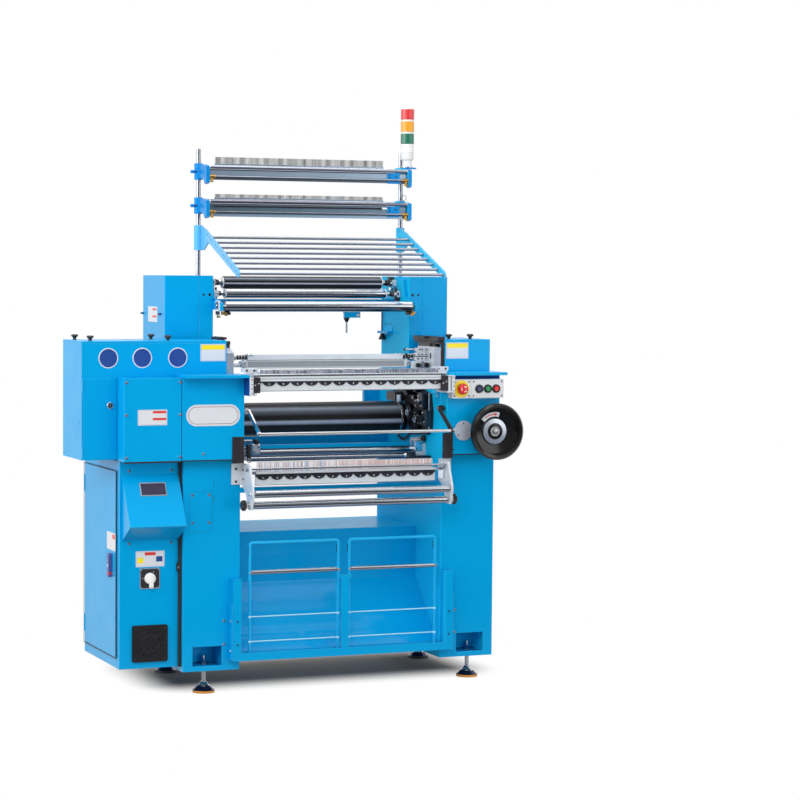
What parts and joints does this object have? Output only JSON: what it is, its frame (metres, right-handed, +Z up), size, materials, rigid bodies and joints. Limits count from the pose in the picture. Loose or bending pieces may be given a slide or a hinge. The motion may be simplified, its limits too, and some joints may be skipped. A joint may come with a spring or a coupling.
{
  "type": "crochet knitting machine",
  "caption": "Narrow-width crochet knitting machine with hollow side frames, needle units, take-down roller, yarn creel, electrical cabinet and handwheel.",
  "frame": {"origin": "on the floor under the middle of the machine's outline", "axes": "+X along the needle row to the operator's right, +Y to the back, +Z up"},
  "size_m": [1.83, 0.839, 2.394],
  "materials": {
    "blue_paint": "satin",
    "blue_casting": "satin",
    "bright_steel": "brushed",
    "chrome": "polished",
    "aluminium": "satin",
    "black_steel": "satin",
    "black_rubber": "matt",
    "black_plastic": "matt",
    "gloss_black": "gloss",
    "red_plastic": "gloss",
    "green_plastic": "gloss",
    "blue_plastic": "gloss",
    "white_plastic": "satin",
    "signal_lens": "gloss",
    "motor_paint": "satin"
  },
  "bodies": {
    "root": {"left_side_frame": "blue_paint", "right_side_frame": "blue_paint", "cross_beams": "blue_paint", "rear_table": "blue_paint", "front_channel_frame": "blue_paint", "tube_frames": "blue_paint", "column_covers": "blue_paint", "upper_columns": "blue_paint", "left_gear_box": "blue_paint", "gear_box_front_panel": "blue_paint", "right_gear_box": "blue_paint", "gear_box_lids": "blue_paint", "clamp_knobs": "black_plastic", "tool_shelves": "blue_paint", "electrical_cabinet": "blue_paint", "control_desk": "blue_paint", "fan_grille": "black_plastic", "leveling_feet": "black_steel", "creel_clamps": "blue_casting", "creel_bars": "chrome", "yarn_reeds": "bright_steel", "rack_arms": "blue_casting", "signal_tower": "signal_lens", "feed_brackets": "aluminium", "drive_heads": "aluminium", "weft_channel": "aluminium", "zigzag_plates": "bright_steel", "clamp_plates": "black_steel", "end_blocks": "black_steel", "roller_holders": "aluminium", "needle_beds": "bright_steel", "guide_rods": "chrome", "control_boxes": "aluminium", "main_motor": "motor_paint", "drive_belt": "black_rubber", "hand_drive_gearbox": "motor_paint"},
    "main_shaft": {"main_shaft": "bright_steel"},
    "handwheel": {"handwheel": "gloss_black"},
    "motor_pulley": {"motor_pulley": "bright_steel"},
    "take_down_roller": {"take_down_roller": "black_rubber", "take_down_gear": "black_steel"},
    "middle_gear": {"middle_gear": "black_steel"},
    "input_gear": {"input_gear": "black_steel"},
    "rubber_feed_roller": {"rubber_feed_roller": "black_rubber"},
    "chrome_feed_roller": {"chrome_feed_roller": "chrome"},
    "front_feed_roller": {"front_feed_roller": "chrome"},
    "upper_fabric_roller": {"upper_fabric_roller": "chrome"},
    "lower_fabric_roller": {"lower_fabric_roller": "chrome"},
    "weft_bar": {"weft_bar": "aluminium"},
    "needle_bar": {"needle_bar": "bright_steel"},
    "guard_bar": {"guard_bar": "bright_steel"},
    "emergency_button": {"emergency_button": "red_plastic"},
    "jog_button": {"jog_button": "blue_plastic"},
    "run_button": {"run_button": "green_plastic"},
    "stop_button": {"stop_button": "red_plastic"},
    "main_switch_knob": {"main_switch_knob": "white_plastic"},
    "cabinet_door": {"cabinet_door": "blue_paint"},
    "cabinet_door_handle": {"cabinet_door_handle": "blue_plastic"},
    "gear_box_door": {"gear_box_door": "blue_paint"},
    "fan_rotor": {"fan_rotor": "black_plastic"}
  },
  "joints": [
    {"name": "main_shaft_turn", "type": "hinge", "parent": "root", "child": "main_shaft", "pos_m": [0.17, -0.079, 1.222], "axis": [1, 0, 0], "continuous": true},
    {"name": "handwheel_turn", "type": "hinge", "parent": "root", "child": "handwheel", "pos_m": [0.798, -0.259, 1.046], "axis": [0, 1, 0], "continuous": true},
    {"name": "motor_turn", "type": "hinge", "parent": "root", "child": "motor_pulley", "pos_m": [0.17, -0.079, 1.05], "axis": [1, 0, 0], "continuous": true},
    {"name": "take_down_turn", "type": "hinge", "parent": "root", "child": "take_down_roller", "pos_m": [0.17, 0.116, 1.079], "axis": [1, 0, 0], "continuous": true},
    {"name": "middle_gear_turn", "type": "hinge", "parent": "root", "child": "middle_gear", "pos_m": [0.17, 0.02306, 1.10304], "axis": [1, 0, 0], "continuous": true},
    {"name": "input_gear_turn", "type": "hinge", "parent": "root", "child": "input_gear", "pos_m": [0.17, -0.05488, 1.08098], "axis": [1, 0, 0], "continuous": true},
    {"name": "rubber_feed_turn", "type": "hinge", "parent": "root", "child": "rubber_feed_roller", "pos_m": [0.17, 0.206, 1.65], "axis": [1, 0, 0], "continuous": true},
    {"name": "chrome_feed_turn", "type": "hinge", "parent": "root", "child": "chrome_feed_roller", "pos_m": [0.17, 0.164, 1.604], "axis": [1, 0, 0], "continuous": true},
    {"name": "front_feed_turn", "type": "hinge", "parent": "root", "child": "front_feed_roller", "pos_m": [0.17, 0.01, 1.552], "axis": [1, 0, 0], "continuous": true},
    {"name": "upper_fabric_turn", "type": "hinge", "parent": "root", "child": "upper_fabric_roller", "pos_m": [0.17, -0.372, 0.815], "axis": [1, 0, 0], "continuous": true},
    {"name": "lower_fabric_turn", "type": "hinge", "parent": "root", "child": "lower_fabric_roller", "pos_m": [0.17, -0.354, 0.769], "axis": [1, 0, 0], "continuous": true},
    {"name": "weft_bar_slide", "type": "slide", "parent": "root", "child": "weft_bar", "axis": [1, 0, 0], "range_m": [-0.005, 0.005]},
    {"name": "needle_bar_slide", "type": "slide", "parent": "root", "child": "needle_bar", "axis": [0, 1, 0], "range_m": [-0.006, 0.006]},
    {"name": "guard_bar_swing", "type": "hinge", "parent": "root", "child": "guard_bar", "pos_m": [0.17, -0.284, 1.14], "axis": [1, 0, 0], "range_deg": [-55, 20]},
    {"name": "emergency_press", "type": "slide", "parent": "root", "child": "emergency_button", "axis": [0, 1, 0], "range_m": [0, 0.004]},
    {"name": "jog_press", "type": "slide", "parent": "root", "child": "jog_button", "axis": [0, 1, 0], "range_m": [0, 0.004], "stiffness_N_per_m": 250},
    {"name": "run_press", "type": "slide", "parent": "root", "child": "run_button", "axis": [0, 1, 0], "range_m": [0, 0.004], "stiffness_N_per_m": 250},
    {"name": "stop_press", "type": "slide", "parent": "root", "child": "stop_button", "axis": [0, 1, 0], "range_m": [0, 0.004], "stiffness_N_per_m": 250},
    {"name": "main_switch_turn", "type": "hinge", "parent": "root", "child": "main_switch_knob", "pos_m": [-0.637, -0.259, 0.479], "axis": [0, 1, 0], "range_deg": [0, 90]},
    {"name": "cabinet_door_swing", "type": "hinge", "parent": "root", "child": "cabinet_door", "pos_m": [-0.7653, 0.263, 0], "axis": [0, 0, 1], "range_deg": [-110, 0]},
    {"name": "cabinet_handle_turn", "type": "hinge", "parent": "cabinet_door", "child": "cabinet_door_handle", "pos_m": [0.17, -0.126, 0.524], "axis": [1, 0, 0], "range_deg": [0, 90]},
    {"name": "gear_box_door_swing", "type": "hinge", "parent": "root", "child": "gear_box_door", "pos_m": [-0.911, -0.2203, 0], "axis": [0, 0, 1], "range_deg": [-110, 0]},
    {"name": "fan_turn", "type": "hinge", "parent": "root", "child": "fan_rotor", "pos_m": [-0.637, -0.259, 0.22], "axis": [0, 1, 0], "continuous": true}
  ],
  "couplings": [
    {"joint": "handwheel_turn", "follows": "main_shaft_turn", "ratio": 1},
    {"joint": "motor_turn", "follows": "main_shaft_turn", "ratio": 2.5882},
    {"joint": "middle_gear_turn", "follows": "take_down_turn", "ratio": -1.6667},
    {"joint": "input_gear_turn", "follows": "take_down_turn", "ratio": 1.3333}
  ]
}
